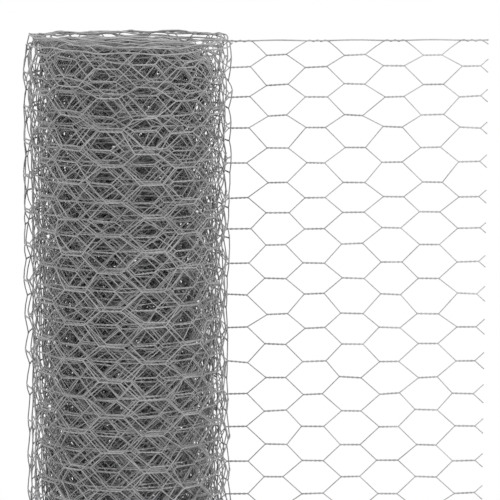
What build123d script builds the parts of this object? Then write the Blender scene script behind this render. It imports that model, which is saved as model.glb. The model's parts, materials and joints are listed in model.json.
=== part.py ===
from build123d import *
import os

# A roll of galvanised hexagonal wire netting standing on its end, its loose end left lying flat.
# Millimetres, +Z up. The origin is on the roll's axis at floor level. The loose end leaves the roll
# at its back, on the +Y side, and runs to +X.

# stock
width = 500.0  # of the netting, and so the height of the standing roll
wire = 0.9
edge_wire = 1.2  # the straight wire along each edge

# roll
roll_radius = 77.0
bore_radius = 24.0
turn_grooves = 7  # shown on each end
groove_width = 1.6
groove_depth = 3.0
first_land = 4.0  # left between the bore and the first groove
land_growth = 1.08  # each land against the one inside it, as the outer turns are looser

# netting
column_pitch = 29.6  # from one column of twists to the next
twist_length = 16.6
first_column = 12.7  # from the cut edge to the middle of the first twists
first_row = 11.6  # from the edge to the first twist
rows = 20
loose_end = 274.0  # from the line where the netting leaves the roll to its cut edge

pair = 2 * wire  # two wires twisted together
wrap = edge_wire + pair  # a mesh wire wound round the edge wire
edges = (wrap / 2, width - wrap / 2)
row_pitch = (width - 2 * first_row) / (rows - 1)
flap_plane = Plane.XZ.offset(-roll_radius - pair / 2)

# columns counted back from the cut edge; the last one lies across the line of contact
last_column = loose_end - first_column
columns = [last_column - column * column_pitch for column in range(int(last_column / column_pitch) + 2)]

# every other column has its twists halfway between those of its neighbours, and reaches both edges
full_rows = [first_row + row * row_pitch for row in range(rows)]
halfway_rows = [edges[0]] + [z + row_pitch / 2 for z in full_rows[:-1]] + [edges[1]]

with BuildPart() as netting_roll:
    with BuildSketch(Plane.XZ):
        with Locations(((bore_radius + roll_radius) / 2, width / 2)):
            Rectangle(roll_radius - bore_radius, width)
        land = first_land
        groove_start = bore_radius + first_land
        for groove in range(turn_grooves):
            for end, inwards in ((0.0, 1), (width, -1)):
                with BuildLine():
                    Polyline(
                        (groove_start, end),
                        (groove_start + groove_width / 2, end + inwards * groove_depth),
                        (groove_start + groove_width, end),
                        close=True,
                    )
                make_face(mode=Mode.SUBTRACT)
            land *= land_growth
            groove_start += groove_width + land
    revolve(axis=Axis.Z)

with BuildPart() as netting_flap:
    with BuildSketch(flap_plane):
        # each mesh wire runs to and fro between one full row and one halfway row
        for row, full in enumerate(full_rows):
            for halfway in halfway_rows[row : row + 2]:
                bends = []
                for column, x in enumerate(columns):
                    z = full if column % 2 else halfway
                    bends += [(x + twist_length / 2, z), (x - twist_length / 2, z)]
                with BuildLine():
                    Polyline(*bends)
                trace(line_width=wire)
        with Locations(*[(loose_end / 2, z) for z in edges]):
            Rectangle(loose_end, edge_wire)
        with Locations((loose_end / 2, width / 2)):
            Rectangle(loose_end, width, mode=Mode.INTERSECT)
    extrude(amount=wire / 2, both=True)
    with BuildSketch(flap_plane):
        for column, x in enumerate(columns):
            with Locations(*[(x, z) for z in (full_rows if column % 2 else halfway_rows[1:-1])]):
                Rectangle(twist_length, pair)
            if column % 2 == 0:
                with Locations(*[(x, z) for z in edges]):
                    Rectangle(twist_length, wrap)
        with Locations((loose_end / 2, width / 2)):
            Rectangle(loose_end, width, mode=Mode.INTERSECT)
    extrude(amount=pair / 2, both=True)

netting_roll.part.label = "netting_roll"
netting_flap.part.label = "netting_flap"

os.makedirs("parts", exist_ok=True)
export_step(netting_roll.part, "parts/netting_roll.step")
export_step(netting_flap.part, "parts/netting_flap.step")
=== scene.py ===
import json
import math
from collections import namedtuple

import bpy
import numpy as np
from bpy.props import FloatProperty, FloatVectorProperty, IntProperty, PointerProperty
from bpy.types import Operator, Panel, PropertyGroup
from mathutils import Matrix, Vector


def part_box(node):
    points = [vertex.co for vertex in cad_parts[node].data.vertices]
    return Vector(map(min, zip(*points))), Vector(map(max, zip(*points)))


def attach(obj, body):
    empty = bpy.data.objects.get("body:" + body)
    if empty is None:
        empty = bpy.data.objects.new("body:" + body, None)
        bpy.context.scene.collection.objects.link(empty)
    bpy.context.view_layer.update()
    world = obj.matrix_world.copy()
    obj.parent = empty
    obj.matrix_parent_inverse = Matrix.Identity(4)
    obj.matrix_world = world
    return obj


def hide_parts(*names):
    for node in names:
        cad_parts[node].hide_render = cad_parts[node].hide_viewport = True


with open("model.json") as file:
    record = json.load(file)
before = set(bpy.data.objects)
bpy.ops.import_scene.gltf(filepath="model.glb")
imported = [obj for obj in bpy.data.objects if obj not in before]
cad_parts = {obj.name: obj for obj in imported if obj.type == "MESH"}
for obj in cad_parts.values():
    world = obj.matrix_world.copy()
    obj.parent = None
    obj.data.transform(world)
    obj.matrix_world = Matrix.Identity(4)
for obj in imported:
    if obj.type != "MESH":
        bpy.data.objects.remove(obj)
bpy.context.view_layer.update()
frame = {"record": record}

bl_info = {
    "name": "Chicken wire roll",
    "version": (1, 0, 0),
    "blender": (4, 5, 0),
    "location": "3D View > Sidebar > Netting",
    "description": "Dresses the roll of hexagonal wire netting with its real woven wires",
    "category": "Object",
}

_, ROLL_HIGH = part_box("netting_roll")
_, FLAP_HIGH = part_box("netting_flap")
MM = 0.001
CIRCLE = 2 * math.pi
WHITE = (1, 1, 1, 1)
BORE_RADIUS = frame["record"]["mounts"][0]["dims"]["r_mm"] * MM
LOOSE_END = FLAP_HIGH[0]  # length of the flat part

# Heights of the twists above the floor in mm, bottom to top. Every other column has full rows, and
# the columns between have halfway rows and wraps round both edge wires. The loom sets the heights,
# so they are the same all along.
FULL_ROWS = (
    11.6, 35.9, 60.2, 84.5, 108.9, 133.2, 157.5, 183.0, 210.1, 236.3,
    262.4, 286.7, 314.2, 340.7, 365.5, 388.8, 415.9, 440.5, 464.2, 487.1,
)
HALFWAY_ROWS = (
    23.8, 48.0, 72.3, 96.7, 121.0, 143.8, 170.3, 197.4, 223.6, 248.9,
    275.7, 301.7, 326.7, 353.2, 377.2, 404.3, 431.2, 455.0, 477.9,
)

# How finely a length of netting is drawn: steps along a twist, sides of a wire, whether its bends
# are rounded, and the most half turns that a twist and a wrap round the edge wire are given
Detail = namedtuple("Detail", "steps sides rounded twist wrap")
CLOSE = Detail(15, 6, True, 15, 6)
OUTER = Detail(8, 4, True, 8, 2)
INNER = Detail(4, 4, False, 3, 2)
HIDDEN = Detail(2, 3, False, 1, 2)
DEEP = Detail(1, 3, False, 1, 2)
THREE_SIDED = 1.21  # how much wider a three-sided wire is made, to look as thick as a round one
SKIN = 0.2 * MM  # a small step outwards, to find which way that is

# Pieces of the wound netting: name, the turns at which it starts and stops, and its detail
SPRUNG_TURNS = (
    ("sprung_turns_1", 0, 1.5, OUTER),
    ("sprung_turns_2", 1.5, 3.2, OUTER),
    ("sprung_turns_3", 3.2, 5.2, OUTER),
)
TIGHT_TURNS = (
    ("tight_turns_outer", 5.2, 10, INNER),
    ("tight_turns_middle", 10, 20, HIDDEN),
    ("tight_turns_inner", 20, 35, DEEP),
    ("innermost_turns", 35, None, DEEP),
)


def length(name, description, millimetres):
    return FloatProperty(
        name=name, description=description, default=millimetres * MM, subtype="DISTANCE"
    )


def amount(name, description, default, subtype="NONE"):
    return FloatProperty(name=name, description=description, default=default, subtype=subtype)


def count(name, description, default):
    return IntProperty(name=name, description=description, default=default)


def colour(name, description, default):
    return FloatVectorProperty(
        name=name, description=description, default=default, subtype="COLOR", min=0.0, max=1.0
    )


def point(name, description, default):
    return FloatVectorProperty(
        name=name, description=description, default=default, subtype="TRANSLATION"
    )


class NettingSizes(PropertyGroup):
    wire: length("Mesh wire", "Diameter of a mesh wire", 0.9)
    edge_wire: length("Edge wire", "Diameter of the straight wire along each edge", 1.2)
    column_pitch: length("Column pitch", "From one column of twists to the next", 29.6)
    twist_length: length("Twist length", "Length over which two wires are twisted together", 16.6)
    twist_spread: amount("Twist spread", "Distance of twisted wires against their size", 0.75)
    wrap_length: length("Wrap length", "Length of a mesh wire's turns round the edge wire", 18.5)
    half_turns: count("Half turns", "Half turns in each twist, an odd number", 5)
    wrap_turns: count("Wrap turns", "Half turns round the edge wire, an even number", 6)
    lean: amount("Lean", "How far the columns lean for each metre of height", 0.0065)
    first_column: length("First column", "From the cut edge to the first twists' middle", 12.7)
    gather: length("Gather", "What is lost to narrower meshes where the netting first bends", 13.3)
    unevenness: length("Unevenness", "How far the weave strays from even meshes", 0.5)
    warp: length("Warp", "How far whole meshes of the wound netting are pushed sideways", 2.5)
    heave: length("Heave", "How far they are pushed up and down", 0.8)
    shuffle: length("Shuffle", "How far one inner turn's rows stand above those of the next", 7.0)
    sag: length("Sag", "How far the halfway rows near the top hang down on the wound netting", 5.0)
    sag_height: length("Sag height", "Height above which they do", 390)
    bow: length("Bow", "How far the edge wire bows outwards between the places it is held", 0.7)


class WindingSizes(PropertyGroup):
    loose_turns: amount("Loose turns", "Outer turns that have sprung open", 5.5)
    loose_gap: length("Loose gap", "From the outermost turn to the next", 2.7)
    tight_gap: length("Tight gap", "From one tight turn to the next where they begin", 0.59)
    inner_gap: length("Inner gap", "From one turn to the next at the bore", 1.06)
    gap_turns: amount("Gap turns", "Turns over which the tight gap grows to the inner gap", 48.0)
    taper: length("Taper", "How much smaller in radius the loose turns are at the floor", 0.5)
    flare: length("Flare", "How far the loose turns spread close to the top", 1.5)
    pinch: length("Pinch", "How far the edge wire draws the loose turns in at the very top", 3.5)
    pinch_depth: length("Pinch depth", "How far down that reaches", 9)
    flare_depth: length("Flare depth", "How far down the spread and the rise of the top reach", 70)
    lop: length("Lop", "How far the outer turns are pushed over to the loose end's side", 2.2)
    ring_rise: length("Ring rise", "How far the turns inside the outermost one stand up", 7.0)
    front_drop: length("Front drop", "How far the outermost turn hangs down at the front", 6.0)
    lowest: amount("Lowest", "Where on its way round it hangs lowest, in turns", 0.55)
    front_rise: length("Front rise", "How far the inner turns stand up at the front", 4.5)
    ripple: length("Ripple", "How far the top of each turn swings up and down", 0.7)
    edge_drop: length("Edge drop", "How far the edge wire has been pulled down to the mesh", 1.3)
    scallop: length("Scallop", "How far the loose turns are drawn in at every full row", 1.0)
    back_rise: length("Back rise", "How far the tight turns stand up at the back", 2.5)
    core_slope: length("Core slope", "How far the tight turns fall on the loose end's side", 13.0)
    slope_start: length("Slope start", "Distance from the axis at which that fall begins", 25)
    slope_width: length("Slope width", "From there to where it is complete", 34)
    wobble: length("Wobble", "How far the loose turns stray from a true circle", 1.1)
    wander: length("Wander", "How unevenly the turns are spaced", 0.45)
    rim_steps: length("Rim steps", "How unevenly the loose turns stand at the top", 2.5)
    core_steps: length("Core steps", "How unevenly the tight turns stand at the top", 8.0)
    end_rise: length("End rise", "How far the top edge rises towards the cut edge", 1.0)


class ZincFinish(PropertyGroup):
    bright: colour("Bright zinc", "Colour of the cleaner zinc", (0.55, 0.55, 0.556))
    dull: colour("Dull zinc", "Colour of the weathered zinc", (0.362, 0.362, 0.368))
    patch_scale: amount("Patch scale", "How small the patches of cleaner zinc are", 55.0)
    patch_detail: amount("Patch detail", "How ragged they are", 3.0)
    patch_start: amount("Patch start", "Level of the noise at which a patch begins", 0.55)
    patch_full: amount("Patch full", "Level at which it is fully bright", 0.95)
    grain_scale: amount("Grain scale", "How small the grain of the zinc is", 900.0)
    grain_detail: amount("Grain detail", "How ragged it is", 2.0)
    grain_share: amount("Grain share", "How much of the grain shows in the patches", 0.5)
    roughest: amount("Roughest", "Roughness where the grain is darkest", 0.62)
    smoothest: amount("Smoothest", "Roughness where the grain is brightest", 0.4)
    bump_strength: amount("Bump strength", "How strongly the grain shows as bumps", 0.4)
    bump_height: length("Bump height", "Height of the bumps", 0.03)
    metallic: amount("Metallic", "How much of the surface is bare metal", 0.55)
    # painted light and shade: the tight turns are painted lighter to lift the shade deep in the
    # roll, and the outer turns and the loose end next to the roll are painted darker
    painted_light_inside: amount("Painted_light", "What is left of the brightness on the tight turns", 0.94)
    painted_light_radius: length("Sheltered radius", "Distance from the axis up to which it is", 50)
    darker: amount("Painted_shade", "What is left of the brightness on the outer turns", 0.79)
    painted_shade_radius: length("Weathered radius", "Distance from the axis at which it is", 70)


class StudioSizes(PropertyGroup):
    aim: point("Aim", "Point at the middle of the picture", (91.8 * MM, 76.6 * MM, 336.8 * MM))
    distance: length("Distance", "From the camera to the point it is aimed at", 1634)
    elevation: amount("Elevation", "How far the camera looks down", math.radians(7.14), "ANGLE")
    picture_width: length("Picture width", "What the picture takes in at that point", 386.75)
    sensor_width: amount("Sensor width", "Width of the camera's film in mm", 36.0)
    view_depth: length("View depth", "How far the camera sees", 100000)
    floor_radius: length("Floor radius", "Radius of the pale floor", 600)
    floor_corners: count("Floor corners", "Corners of the floor's round edge", 96)
    floor_grey: amount("Floor grey", "How pale the floor is", 0.7)
    floor_roughness: amount("Floor roughness", "How matt the floor is", 0.9)
    room_light: amount("Room light", "Strength of the light from all round", 1.25)
    key_power: amount("Key power", "Power of the large lamp in front", 7.0, "POWER")
    key_size: length("Key size", "Diameter of that lamp", 1200)
    key_place: point("Key place", "Where it stands", (1.1, -1.5, 1.3))


def swings(turn, waves):
    """The sum of waves from turn to turn, each given as (share, radians a turn, start)."""
    return sum(share * np.sin(turn * pace + start) for share, pace, start in waves)


def begun(turn, pace):
    """0 on the flat part, rising to 1 over the first turn divided by the pace."""
    return np.clip(turn * pace, 0, 1)


class Winding:
    """The line that the netting follows, seen from above, by its length from the cut edge."""

    SEED = 7
    STEPS = 240  # in which a turn is measured
    SPACING = ((1.0, 0.86, 0.0), (0.45, 1.9, 0.0))  # waves in how far apart the turns are
    STANDING = ((0.3, 2.9, 0.4), (0.2, 7.3, 1.9))  # and in how high they stand
    OUT, ALONG, UP = range(3)  # ways in which the netting sways
    WAVES = 9  # in each
    WAVE_LENGTHS = (0.06, 0.3)  # in metres along the netting
    WAVE_HEIGHTS = (0.1, 0.45)  # and up it
    RIPPLE_PACE = 4  # how much shorter a ripple is along the netting
    # paces at which the turns loosen, move over and ripple, and come to stand unevenly
    LOOSENING, SHIFTING, STEPPING = 5, 4, 2
    TIGHTENING = 1.6  # how sharply the sprung turns give way to the tight ones
    TIGHTENED = 0.88  # share of the looseness that is lost there
    DRAWN_IN = 0.6  # share of the wobble by which the loose turns lie inside their circle
    CORE_SUNK = 0.5  # share of the core steps by which all the tight turns stand lower
    FRONT_POWER = 3  # keeps what is said of the front to the front
    RING_TURNS = 1.6  # turns over which the top comes up to the ring rise
    FRONT_START = 0.3  # where the drop at the front is whole, in turns
    FRONT_TURNS = 2.5  # and how slowly it goes from there

    def __init__(self, sizes, netting):
        self.sizes = sizes
        self.outer = ROLL_HIGH[0] - netting.wire / 2
        self.height = ROLL_HIGH[2]
        most_turns = (self.outer - BORE_RADIUS) / sizes.tight_gap
        turn = np.arange(0.0, most_turns, 1 / self.STEPS)
        decay = sizes.loose_turns
        opened = (sizes.loose_gap - sizes.tight_gap) * decay * (1 - np.exp(-turn / decay))
        growth = (sizes.inner_gap - sizes.tight_gap) / (2 * sizes.gap_turns)
        radius = self.outer - turn * sizes.tight_gap - growth * turn**2 - opened
        radius = radius + sizes.wander * swings(turn, self.SPACING)
        self.turn = turn[radius > BORE_RADIUS + netting.wire]
        self.radius = radius[: len(self.turn)]
        step = self.radius * CIRCLE / self.STEPS
        self.along = LOOSE_END + np.concatenate(([0.0], np.cumsum(step[:-1])))
        self.length = self.along[-1]
        chance = np.random.default_rng(self.SEED)
        spans = (self.WAVE_LENGTHS, self.WAVE_HEIGHTS, (0, CIRCLE))
        self.waves = [
            [tuple(chance.uniform(*span) for span in spans) for wave in range(self.WAVES)]
            for way in (self.OUT, self.ALONG, self.UP)
        ]

    def turn_at(self, along):
        return np.interp(along, self.along, self.turn, left=0.0)

    def core(self, turn):
        """0 on the sprung turns, rising to 1 on the tight ones."""
        return 1 / (1 + np.exp((self.sizes.loose_turns - turn) * self.TIGHTENING))

    def looseness(self, turn):
        """1 on the sprung turns, a little on the tight ones, and 0 on the flat part."""
        return begun(turn, self.LOOSENING) * (1 - self.TIGHTENED * self.core(turn))

    def sway(self, along, height, way):
        """An uneven swing about 0 that changes slowly along and up the netting."""
        swing = sum(
            np.sin(CIRCLE * (along / long + height / tall) + phase)
            for long, tall, phase in self.waves[way]
        )
        return swing / self.WAVES**0.5

    def rim(self, along):
        """How far the top edge stands below full height, which differs from turn to turn."""
        sizes = self.sizes
        turn = self.turn_at(along)
        wave = swings(turn, self.STANDING)
        sunk = sizes.rim_steps * wave * begun(turn, self.STEPPING)
        sunk = sunk + sizes.core_steps * (self.CORE_SUNK + wave) * self.core(turn)
        return sunk - sizes.end_rise * np.clip(1 - along / LOOSE_END, 0, 1)

    def settling(self, turn, across):
        """How far the very top stands above its even height, or below it, seen from above."""
        sizes = self.sizes
        core = self.core(turn)
        forwards = (0.5 + 0.5 * np.cos(CIRCLE * (turn - sizes.lowest))) ** self.FRONT_POWER
        inside = np.clip(turn / self.RING_TURNS, 0, 1)
        at_back = sizes.ring_rise * inside * inside * (3 - 2 * inside)
        at_back = at_back * (1 - core) + sizes.back_rise * core
        dropped = np.exp((self.FRONT_START - turn) / self.FRONT_TURNS)
        at_front = sizes.front_rise - (sizes.front_drop + sizes.front_rise) * dropped
        beyond = np.clip((across - sizes.slope_start) / sizes.slope_width, 0, None)
        slope = sizes.core_slope * beyond**2
        return at_back * (1 - forwards) + at_front * forwards - core * slope

    def place(self, along, height, out):
        """Points for lengths along the netting, heights on it and distances out from its middle."""
        sizes = self.sizes
        turn = self.turn_at(along)
        angle = CIRCLE * turn
        loose = self.looseness(turn)
        near_top = np.exp((height - self.height) / sizes.flare_depth)
        at_edge = np.exp((height - self.height) / sizes.pinch_depth)
        away = (0.5 + 0.5 * np.sin(angle)) * begun(turn, self.LOOSENING)  # from the loose end
        row = np.interp(height, np.array(FULL_ROWS) * MM, np.arange(len(FULL_ROWS)))
        radius = np.interp(along, self.along, self.radius, left=self.outer)
        strayed = self.sway(along, height, self.OUT) - self.DRAWN_IN
        radius = radius + loose * sizes.wobble * strayed
        radius = radius + loose * sizes.flare * near_top
        radius = radius - loose * sizes.taper * (1 - height / self.height)
        radius = radius + out
        radius = radius - loose * away * sizes.scallop * np.cos(CIRCLE * row)
        radius = radius - loose * away * sizes.pinch * at_edge
        outward = np.clip((radius - BORE_RADIUS) / (self.outer - BORE_RADIUS), 0, 1)
        shifted = begun(turn, self.SHIFTING)
        flat = np.clip(LOOSE_END - along, 0, None)
        across = flat - radius * np.sin(angle) + sizes.lop * (outward * shifted)
        behind = radius * np.cos(angle)
        ripple = sizes.ripple * shifted * self.sway(self.RIPPLE_PACE * along, height, self.UP)
        level = height - self.rim(along) * np.sqrt(np.clip(height / self.height, 0, None))
        level = level - sizes.edge_drop * at_edge
        level = level + (self.settling(turn, across) + ripple) * near_top
        return np.stack((across, behind, level), axis=-1)


class Weave:
    """Where each twist lies on the flat netting, and the path of each wire through it."""

    SEED = 3
    SETTLED = 4  # columns past the flat part at which the netting is as uneven as it gets
    # shares of the unevenness
    FLAT_CLIMB = 0.6  # by which a twist on the flat part is off its height
    TILT = 0.5  # by which its ends are off it
    BULGE = 0.7  # by which it stands out
    SHUFFLED = 8  # turns past which the rows are shuffled, more and more up to twice as many
    SHUFFLE_PACE = 2.4  # radians a turn
    STUBS = (0.05, 0.95)  # least and most of a diagonal that is left at the cut edge
    INNER_STUB = 0.4  # how much is left at the inner end of the netting
    BEND = 0.14  # share of half a diagonal that its bend takes up
    EDGE_STEP = 6 * MM  # between the points of an edge wire

    def __init__(self, sizes, winding):
        self.sizes = sizes
        self.winding = winding
        self.columns = int(winding.length / sizes.column_pitch)
        self.inset = sizes.edge_wire / 2 + sizes.wire  # of the edge wires
        ends = ([self.inset], [winding.height - self.inset])
        halfway = np.concatenate((ends[0], np.array(HALFWAY_ROWS) * MM, ends[1]))
        full = np.concatenate((np.array(FULL_ROWS) * MM, [0.0]))  # the last is not used
        self.rows = len(halfway)
        shape = (self.columns, self.rows)
        column = np.arange(self.columns)[:, None]
        reaches_edge = column % 2 == 0
        up = np.where(reaches_edge, halfway[None], full[None])
        self.edge = np.zeros(shape, bool)
        self.edge[::2, [0, -1]] = True
        self.used = np.ones(shape, bool)
        self.used[1::2, -1] = False
        along = sizes.first_column + column * sizes.column_pitch
        along = along + sizes.lean * (winding.height - up)
        # from one radius before the netting leaves its plane to half a turn past it
        bent = (along - LOOSE_END + winding.outer) / ((1 + math.pi) * winding.outer)
        along = along - sizes.gather * np.clip(bent, 0, 1)
        wound = np.clip((along - LOOSE_END) / (self.SETTLED * sizes.column_pitch), 0, 1)
        chance = np.random.default_rng(self.SEED)
        rough = sizes.unevenness
        self.middles = along + chance.normal(0, rough, shape)
        self.middles = self.middles + sizes.warp * wound * winding.sway(along, up, winding.ALONG)
        climb = chance.normal(0, rough * (self.FLAT_CLIMB + wound))
        climb = climb + sizes.heave * wound * winding.sway(along, up, winding.UP)
        sagging = np.clip((up - sizes.sag_height) / sizes.column_pitch, 0, 1) * reaches_edge
        climb = climb - sizes.sag * wound * sagging
        turn = winding.turn_at(along)
        shuffled = np.clip(turn / self.SHUFFLED - 1, 0, 1)
        climb = climb + sizes.shuffle * shuffled * np.sin(self.SHUFFLE_PACE * turn)
        self.heights = up + np.where(self.edge, 0, climb)
        half = np.where(self.edge, sizes.wrap_length, sizes.twist_length) / 2
        self.halves = half + chance.normal(0, rough, shape)
        self.tilts = np.where(self.edge, 0, chance.normal(0, rough * self.TILT, shape))
        self.bulges = chance.normal(0, rough * self.BULGE, shape)

    def column_at(self, turns):
        """The first column of twists past this many turns."""
        along = np.interp(turns, self.winding.turn, self.winding.along)
        return min(int(along / self.sizes.column_pitch), self.columns)

    def end(self, column, row, side):
        """The end of a twist on the side of the cut edge (-1) or of the bore (+1)."""
        column = np.clip(column, 0, self.columns - 1)
        return np.stack(
            (
                self.middles[column, row] + side * self.halves[column, row],
                self.heights[column, row] - side * self.tilts[column, row],
                self.bulges[column, row],
            ),
            axis=-1,
        )

    def halfway_point(self, column, row, side, upwards):
        """The middle of the diagonal that leaves a twist, or where it was cut off."""
        other_row = row + np.where(column % 2 == 0, -1, 0) + upwards
        other_row = np.clip(other_row, 0, self.rows - 1)
        here = self.end(column, row, side)
        there = self.end(column + side, other_row, -side)
        middle = (here + there) / 2
        reach = self.sizes.column_pitch - self.sizes.twist_length
        rise = self.winding.height / (2 * len(FULL_ROWS)) * np.where(upwards, 1, -1)
        left = np.clip(here[..., 0] / reach, *self.STUBS) if side < 0 else self.INNER_STUB
        cut = here.copy()
        cut[..., 0] = here[..., 0] + side * left * reach
        cut[..., 1] = here[..., 1] + left * rise
        at_cut = (column + side < 0) | (column + side >= self.columns)
        return np.where(at_cut[..., None], cut, middle)

    def strands(self, first, last, detail):
        """Paths of all mesh wires from one column to another, as (strand, point, coordinate), with
        the strand that each runs on into, or -1. A strand is one wire's way through one twist."""
        sizes = self.sizes
        columns, rows = np.meshgrid(np.arange(first, last), np.arange(self.rows), indexing="ij")
        keep = self.used[first:last]
        columns, rows = columns[keep], rows[keep]
        edge = self.edge[columns, rows]
        # which twists, and whether the wire comes from above (1) or below and goes on upwards
        groups = (
            (~edge, 0, 1),
            (~edge, 1, 0),
            (edge & (rows > 0), 0, 0),
            (edge & (rows == 0), 1, 1),
        )
        t = np.linspace(0, 1, detail.steps + 1)[None, :, None]
        numbers, next_keys, paths, made = {}, [], [], 0
        for mask, from_up, to_up in groups:
            column, row = columns[mask], rows[mask]
            start = self.halfway_point(column, row, 1, from_up)[:, None]
            finish = self.halfway_point(column, row, -1, to_up)[:, None]
            behind = self.end(column, row, 1)[:, None]
            ahead = self.end(column, row, -1)[:, None]
            middle = behind * (1 - t) + ahead * t
            if from_up == to_up:
                reach = (sizes.wire + sizes.edge_wire) / 2 * sizes.twist_spread
                half_turns = min(sizes.wrap_turns, detail.wrap)
            else:
                reach = sizes.wire / 2 * sizes.twist_spread
                half_turns = min(sizes.half_turns, detail.twist)
            angle = math.pi * (half_turns * t[..., 0] + (0 if from_up else 1))
            middle[..., 1] += reach * np.cos(angle)
            middle[..., 2] += reach * np.sin(angle)
            points = [start, middle, finish]
            if detail.rounded:
                points.insert(1, self.BEND * start + (1 - self.BEND) * middle[:, :1])
                points.insert(3, self.BEND * finish + (1 - self.BEND) * middle[:, -1:])
            paths.append(np.concatenate(points, axis=1))
            next_row = row + np.where(column % 2 == 0, -1, 0) + to_up
            for c, r, onward in zip(column.tolist(), row.tolist(), next_row.tolist()):
                numbers[c, r, from_up] = made
                next_keys.append((c - 1, onward, 1 - to_up))
                made += 1
        follows = np.array([numbers.get(key, -1) for key in next_keys])
        return np.concatenate(paths), follows

    def edge_wires(self, first, last):
        """The two straight edge wires over the same stretch, in the same form."""
        start, finish = self.boundary(first), self.boundary(last)
        steps = max(int((finish - start) / self.EDGE_STEP), 2)
        along = np.linspace(finish, start, steps + 1)
        held = (along - self.sizes.first_column) / (2 * self.sizes.column_pitch)
        bow = self.sizes.bow * np.sin(math.pi * held) ** 2
        heights = (self.inset - bow, self.winding.height - self.inset + bow)
        paths = [np.stack((along, height, np.zeros_like(along)), axis=-1) for height in heights]
        return np.stack(paths), np.array([-1, -1])

    def boundary(self, column):
        """Where the edge wires of two stretches meet, halfway before a column."""
        if column <= 0:
            return 0.0
        lean = self.sizes.lean * self.winding.height / 2
        return self.sizes.first_column + (column - 0.5) * self.sizes.column_pitch + lean


def tubes(winding, paths, follows, radius, sides):
    """Vertices, sides and caps of round wires along the paths. A wire that runs on into another
    shares that one's first ring."""
    wires, points = paths.shape[:2]
    along, height, out = np.moveaxis(paths, -1, 0)
    centres = winding.place(along, height, out)
    outwards = winding.place(along, height, out + SKIN) - centres
    tangent = np.empty_like(centres)
    tangent[:, 1:-1] = centres[:, 2:] - centres[:, :-2]
    tangent[:, 0] = centres[:, 1] - centres[:, 0]
    tangent[:, -1] = centres[:, -1] - centres[:, -2]
    tangent /= np.linalg.norm(tangent, axis=-1, keepdims=True)
    outwards -= (outwards * tangent).sum(-1, keepdims=True) * tangent
    outwards /= np.linalg.norm(outwards, axis=-1, keepdims=True)
    sideways = np.cross(tangent, outwards)
    around = np.arange(sides) * CIRCLE / sides
    ring = (
        centres[:, :, None]
        + radius * np.cos(around)[None, None, :, None] * outwards[:, :, None]
        + radius * np.sin(around)[None, None, :, None] * sideways[:, :, None]
    )
    number = np.arange(wires * points).reshape(wires, points)
    runs_on = follows >= 0
    number[runs_on, -1] = number[follows[runs_on], 0]
    corner = np.arange(sides)
    here = number[:, :-1, None] * sides + corner
    there = number[:, 1:, None] * sides + corner
    quads = np.stack((here, there, np.roll(there, -1, axis=2), np.roll(here, -1, axis=2)), axis=-1)
    run_into = np.zeros(wires, bool)
    run_into[follows[runs_on]] = True
    first_caps = number[~run_into, 0][:, None] * sides + corner
    last_caps = (number[~runs_on, -1][:, None] * sides + corner)[:, ::-1]
    return ring.reshape(-1, 3), quads.reshape(-1, 4), np.concatenate((first_caps, last_caps))


def make_netting(scene, name, node, start, stop, detail):
    """Make the netting from one number of turns to another as a mesh object that stands for a CAD
    node. A start of None is the cut edge, and a stop of None is the bore."""
    netting = scene.netting_sizes
    winding = Winding(scene.winding_sizes, netting)
    weave = Weave(netting, winding)
    first = 0 if start is None else weave.column_at(start)
    last = weave.columns if stop is None else weave.column_at(stop)
    wires = (
        (weave.strands(first, last, detail), netting.wire),
        (weave.edge_wires(first, last), netting.edge_wire),
    )
    fuller = THREE_SIDED if detail.sides == 3 else 1.0
    vertices, faces, used = [], [], 0
    for (paths, follows), thickness in wires:
        radius = fuller * thickness / 2
        points, quads, caps = tubes(winding, paths, follows, radius, detail.sides)
        vertices.append(points)
        faces += [quads + used, caps + used]
        used += len(points)
    corners = np.concatenate([f.ravel() for f in faces])
    totals = np.concatenate([np.full(len(f), f.shape[1]) for f in faces])
    starts = np.concatenate(([0], np.cumsum(totals)[:-1]))
    wanted, corners = np.unique(corners, return_inverse=True)
    vertices = np.concatenate(vertices)[wanted]
    mesh = bpy.data.meshes.new(name)
    mesh.vertices.add(len(vertices))
    mesh.vertices.foreach_set("co", vertices.astype(np.float32).ravel())
    mesh.loops.add(len(corners))
    mesh.loops.foreach_set("vertex_index", corners.astype(np.int32))
    mesh.polygons.add(len(totals))
    mesh.polygons.foreach_set("loop_start", starts.astype(np.int32))
    mesh.update(calc_edges=True)
    if mesh.validate():
        raise RuntimeError(f"{name} has a broken mesh")
    mesh.shade_smooth()
    piece = bpy.data.objects.new(name, mesh)
    scene.collection.objects.link(piece)
    mesh.materials.append(zinc(scene.zinc_finish))
    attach(piece, "root")
    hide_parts(node)
    print(name, "triangles", int((totals - 2).sum()))


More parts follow.
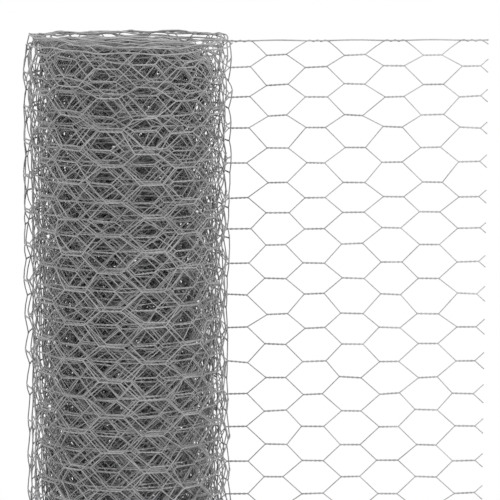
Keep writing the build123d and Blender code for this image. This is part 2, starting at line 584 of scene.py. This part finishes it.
def zinc(finish):
    """Galvanised wire: dull and cleaner zinc in patches, with a fine grain and a slight bump, and
    painted light and shade by distance from the axis.
    """
    material = bpy.data.materials.get("zinc")
    if material:
        return material
    material = bpy.data.materials.new("zinc")
    material.use_nodes = True
    nodes, links = material.node_tree.nodes, material.node_tree.links
    shader = nodes["Principled BSDF"]
    shader.inputs["Metallic"].default_value = finish.metallic
    where = nodes.new("ShaderNodeTexCoord")
    patches = nodes.new("ShaderNodeTexNoise")
    patches.inputs["Scale"].default_value = finish.patch_scale
    patches.inputs["Detail"].default_value = finish.patch_detail
    grain = nodes.new("ShaderNodeTexNoise")
    grain.inputs["Scale"].default_value = finish.grain_scale
    grain.inputs["Detail"].default_value = finish.grain_detail
    blend = nodes.new("ShaderNodeMath")
    blend.operation = "MULTIPLY_ADD"
    blend.inputs[1].default_value = finish.grain_share
    spread = nodes.new("ShaderNodeMapRange")
    spread.inputs["From Min"].default_value = finish.patch_start
    spread.inputs["From Max"].default_value = finish.patch_full
    base = nodes.new("ShaderNodeMix")
    base.data_type = "RGBA"
    base.inputs[6].default_value = (*finish.dull, 1)
    base.inputs[7].default_value = (*finish.bright, 1)
    rough = nodes.new("ShaderNodeMapRange")
    rough.inputs["To Min"].default_value = finish.roughest
    rough.inputs["To Max"].default_value = finish.smoothest
    bump = nodes.new("ShaderNodeBump")
    bump.inputs["Strength"].default_value = finish.bump_strength
    bump.inputs["Distance"].default_value = finish.bump_height
    links.new(where.outputs["Object"], patches.inputs["Vector"])
    links.new(where.outputs["Object"], grain.inputs["Vector"])
    links.new(grain.outputs["Fac"], blend.inputs[0])
    links.new(patches.outputs["Fac"], blend.inputs[2])
    links.new(blend.outputs[0], spread.inputs["Value"])
    links.new(spread.outputs["Result"], base.inputs["Factor"])
    links.new(grain.outputs["Fac"], rough.inputs["Value"])
    links.new(rough.outputs["Result"], shader.inputs["Roughness"])
    links.new(grain.outputs["Fac"], bump.inputs["Height"])
    links.new(bump.outputs["Normal"], shader.inputs["Normal"])

    # painted light and shade by distance from the axis: the tight turns deep in the roll are
    # painted lighter to lift the shade among them, the outer turns are darkest, and the painted
    # shade on the loose end fades out towards the cut edge
    level = nodes.new("ShaderNodeVectorMath")
    level.operation = "MULTIPLY"
    level.inputs[1].default_value = (1, 1, 0)
    from_axis = nodes.new("ShaderNodeVectorMath")
    from_axis.operation = "LENGTH"
    span = nodes.new("ShaderNodeMapRange")
    span.inputs["From Max"].default_value = LOOSE_END
    painted_light_ramp = nodes.new("ShaderNodeValToRGB")
    ramp = painted_light_ramp.color_ramp.elements
    ramp[0].position = finish.painted_light_radius / LOOSE_END
    ramp[0].color = (*[finish.painted_light_inside] * 3, 1)
    ramp[1].position = 1.0
    ramp[1].color = WHITE
    outside = ramp.new(finish.painted_shade_radius / LOOSE_END)
    outside.color = (*[finish.darker] * 3, 1)
    painted_light_mix = nodes.new("ShaderNodeMix")
    painted_light_mix.data_type = "RGBA"
    painted_light_mix.blend_type = "MULTIPLY"
    painted_light_mix.inputs["Factor"].default_value = 1.0
    links.new(where.outputs["Object"], level.inputs[0])
    links.new(level.outputs["Vector"], from_axis.inputs[0])
    links.new(from_axis.outputs["Value"], span.inputs["Value"])
    links.new(span.outputs["Result"], painted_light_ramp.inputs["Fac"])
    links.new(base.outputs[2], painted_light_mix.inputs[6])
    links.new(painted_light_ramp.outputs["Color"], painted_light_mix.inputs[7])
    links.new(painted_light_mix.outputs[2], shader.inputs["Base Color"])
    return material


class NETTING_OT_loose_end(Operator):
    """Make the flat loose end of the netting, with its cut wires"""

    bl_idname = "netting.loose_end"
    bl_label = "Loose end"

    def execute(self, context):
        make_netting(context.scene, "loose_end", "netting_flap", None, 0, CLOSE)
        return {"FINISHED"}


class NETTING_OT_sprung_turns(Operator):
    """Make the outer turns, which have sprung open and show the background between them"""

    bl_idname = "netting.sprung_turns"
    bl_label = "Sprung turns"

    def execute(self, context):
        for name, start, stop, detail in SPRUNG_TURNS:
            make_netting(context.scene, name, "netting_roll", start, stop, detail)
        return {"FINISHED"}


class NETTING_OT_tight_turns(Operator):
    """Make the tight turns down to the bore"""

    bl_idname = "netting.tight_turns"
    bl_label = "Tight turns"

    def execute(self, context):
        for name, start, stop, detail in TIGHT_TURNS:
            make_netting(context.scene, name, "netting_roll", start, stop, detail)
        return {"FINISHED"}


class NETTING_OT_studio(Operator):
    """Set up the pale floor, the white surroundings, the lamp and the camera"""

    bl_idname = "netting.studio"
    bl_label = "Studio"

    def execute(self, context):
        scene = context.scene
        sizes = scene.studio_sizes
        make_floor(scene, sizes)
        make_world(scene, sizes)
        make_lamp(scene, sizes)
        make_camera(scene, sizes)
        scene.view_settings.view_transform = "Standard"
        return {"FINISHED"}


def make_floor(scene, sizes):
    radius = sizes.floor_radius
    around = np.linspace(0, CIRCLE, sizes.floor_corners, endpoint=False)
    rim = [(radius * math.cos(a), radius * math.sin(a), 0.0) for a in around]
    mesh = bpy.data.meshes.new("floor")
    mesh.from_pydata(rim, [], [tuple(range(len(rim)))])
    floor = bpy.data.objects.new("floor", mesh)
    scene.collection.objects.link(floor)
    material = bpy.data.materials.new("pale_floor")
    material.use_nodes = True
    shader = material.node_tree.nodes["Principled BSDF"]
    shader.inputs["Base Color"].default_value = (*[sizes.floor_grey] * 3, 1)
    shader.inputs["Roughness"].default_value = sizes.floor_roughness
    mesh.materials.append(material)


def make_world(scene, sizes):
    """White as seen and as reflected, and brighter as the light that falls on the object."""
    world = bpy.data.worlds.new("surroundings")
    world.use_nodes = True
    scene.world = world
    nodes, links = world.node_tree.nodes, world.node_tree.links
    seen = nodes["Background"]
    seen.inputs["Color"].default_value = WHITE
    seen.inputs["Strength"].default_value = 1.0
    light = nodes.new("ShaderNodeBackground")
    light.inputs["Color"].default_value = WHITE
    light.inputs["Strength"].default_value = sizes.room_light
    ray = nodes.new("ShaderNodeLightPath")
    either = nodes.new("ShaderNodeMath")
    either.operation = "MAXIMUM"
    any_of = nodes.new("ShaderNodeMath")
    any_of.operation = "MAXIMUM"
    mix = nodes.new("ShaderNodeMixShader")
    links.new(ray.outputs["Is Camera Ray"], either.inputs[0])
    links.new(ray.outputs["Is Glossy Ray"], either.inputs[1])
    links.new(either.outputs[0], any_of.inputs[0])
    links.new(ray.outputs["Is Transmission Ray"], any_of.inputs[1])
    links.new(any_of.outputs[0], mix.inputs["Fac"])
    links.new(light.outputs[0], mix.inputs[1])
    links.new(seen.outputs[0], mix.inputs[2])
    links.new(mix.outputs[0], nodes["World Output"].inputs["Surface"])


def make_lamp(scene, sizes):
    lamp = bpy.data.lights.new("key", "AREA")
    lamp.shape = "DISK"
    lamp.size = sizes.key_size
    lamp.energy = sizes.key_power
    holder = bpy.data.objects.new("key", lamp)
    scene.collection.objects.link(holder)
    place = Vector(sizes.key_place)
    holder.location = place
    holder.rotation_euler = (Vector(sizes.aim) - place).to_track_quat("-Z", "Y").to_euler()


def make_camera(scene, sizes):
    lens = bpy.data.cameras.new("camera")
    lens.sensor_width = sizes.sensor_width
    lens.lens = lens.sensor_width * sizes.distance / sizes.picture_width
    lens.clip_end = sizes.view_depth
    camera = bpy.data.objects.new("camera", lens)
    scene.collection.objects.link(camera)
    back = Vector((0.0, -math.cos(sizes.elevation), math.sin(sizes.elevation)))
    camera.location = Vector(sizes.aim) + back * sizes.distance
    camera.rotation_euler = (-back).to_track_quat("-Z", "Y").to_euler()
    scene.camera = camera


class NETTING_PT_panel(Panel):
    """Sizes and steps of the netting roll"""

    bl_idname = "NETTING_PT_panel"
    bl_label = "Netting roll"
    bl_space_type = "VIEW_3D"
    bl_region_type = "UI"
    bl_category = "Netting"

    def draw(self, context):
        layout = self.layout
        for name, group in GROUPS.items():
            box = layout.box()
            for size in group.__annotations__:
                box.prop(getattr(context.scene, name), size)
        for operator in OPERATORS:
            layout.operator(operator.bl_idname)


GROUPS = {
    "netting_sizes": NettingSizes,
    "winding_sizes": WindingSizes,
    "zinc_finish": ZincFinish,
    "studio_sizes": StudioSizes,
}
OPERATORS = (
    NETTING_OT_loose_end,
    NETTING_OT_sprung_turns,
    NETTING_OT_tight_turns,
    NETTING_OT_studio,
)
CLASSES = (*GROUPS.values(), *OPERATORS, NETTING_PT_panel)


def register():
    for one in CLASSES:
        bpy.utils.register_class(one)
    for name, group in GROUPS.items():
        setattr(bpy.types.Scene, name, PointerProperty(type=group))


def unregister():
    for name in GROUPS:
        delattr(bpy.types.Scene, name)
    for one in reversed(CLASSES):
        bpy.utils.unregister_class(one)


def main():
    register()
    bpy.ops.netting.studio()
    bpy.ops.netting.loose_end()
    bpy.ops.netting.sprung_turns()
    bpy.ops.netting.tight_turns()


if __name__ == "__main__":
    main()
